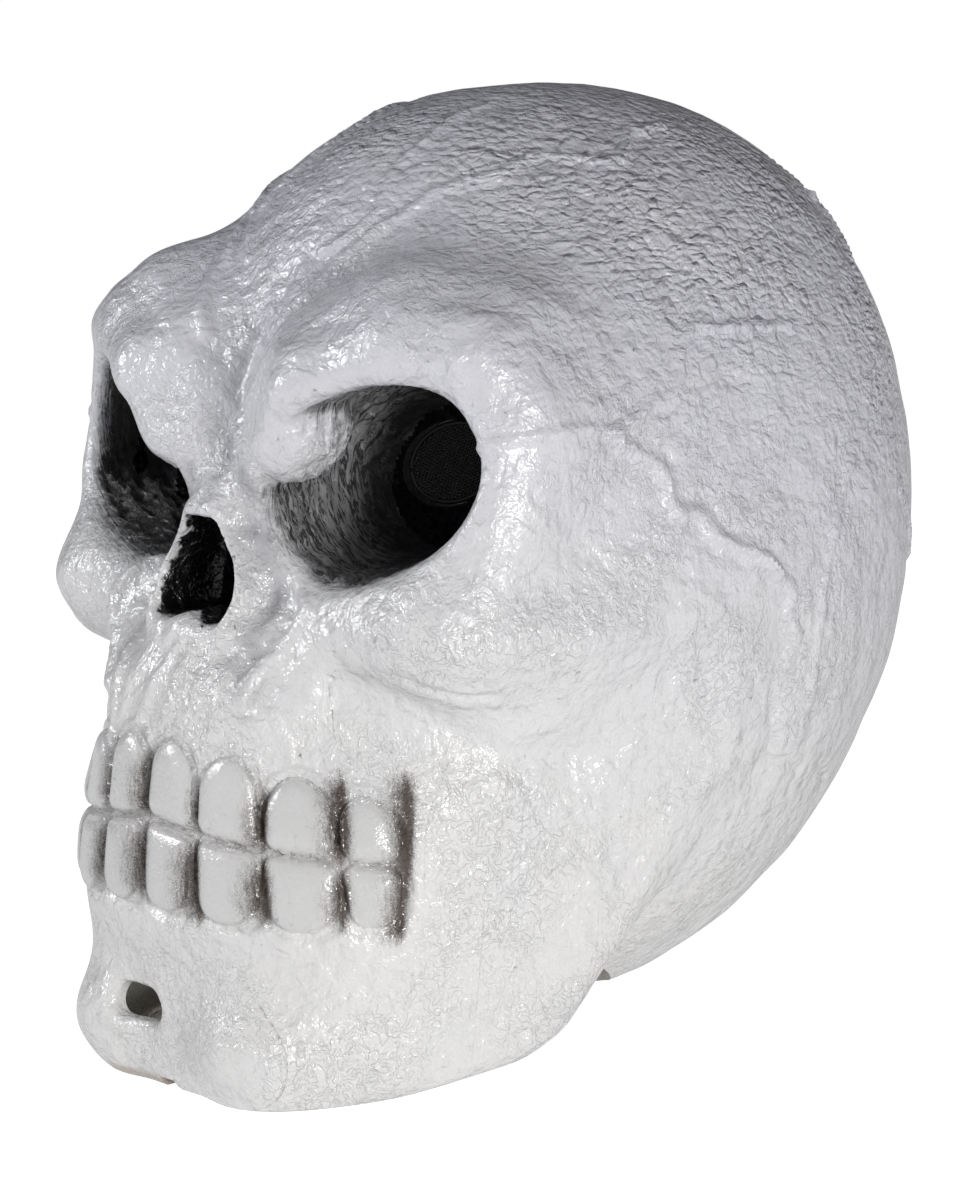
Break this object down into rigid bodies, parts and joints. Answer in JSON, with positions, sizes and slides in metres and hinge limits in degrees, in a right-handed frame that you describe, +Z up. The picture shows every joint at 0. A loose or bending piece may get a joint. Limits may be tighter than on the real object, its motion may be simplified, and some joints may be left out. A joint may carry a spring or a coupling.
{
  "type": "latex halloween mask",
  "caption": "Full-head latex skull mask with deep eye sockets, moulded teeth, an open neck and an inner nape strap with a sliding buckle.",
  "frame": {"origin": "centre of the bounding box's underside, level with the hem under the chin", "axes": "+Z up through the crown, -Y out of the face, +X to the wearer's left; the mask is symmetric about X = 0 but for the chin slot"},
  "size_m": [0.2326, 0.3016, 0.2996],
  "materials": {
    "skin": "glossy painted latex foam",
    "screen": "stiff black see-through gauze",
    "binding": "woven tape",
    "tab": "woven tape",
    "foam": "soft open-cell foam",
    "webbing": "elastic webbing",
    "plastic": "moulded, fine grain"
  },
  "bodies": {
    "mask": {"skull_shell": "skin", "left_eye_screen": "screen", "right_eye_screen": "screen", "nose_screen": "screen", "neck_hem": "binding", "hem_tab": "tab", "crown_pad": "foam", "forehead_pad": "foam", "left_side_pad": "foam", "right_side_pad": "foam", "rear_pad": "foam", "head_strap": "webbing", "left_strap_anchor": "plastic", "right_strap_anchor": "plastic"},
    "slider": {"strap_slider": "plastic"}
  },
  "joints": [
    {"name": "slider_travel", "type": "slide", "parent": "mask", "child": "slider", "axis": [1, 0, 0], "range_m": [-0.05, 0.05]}
  ]
}
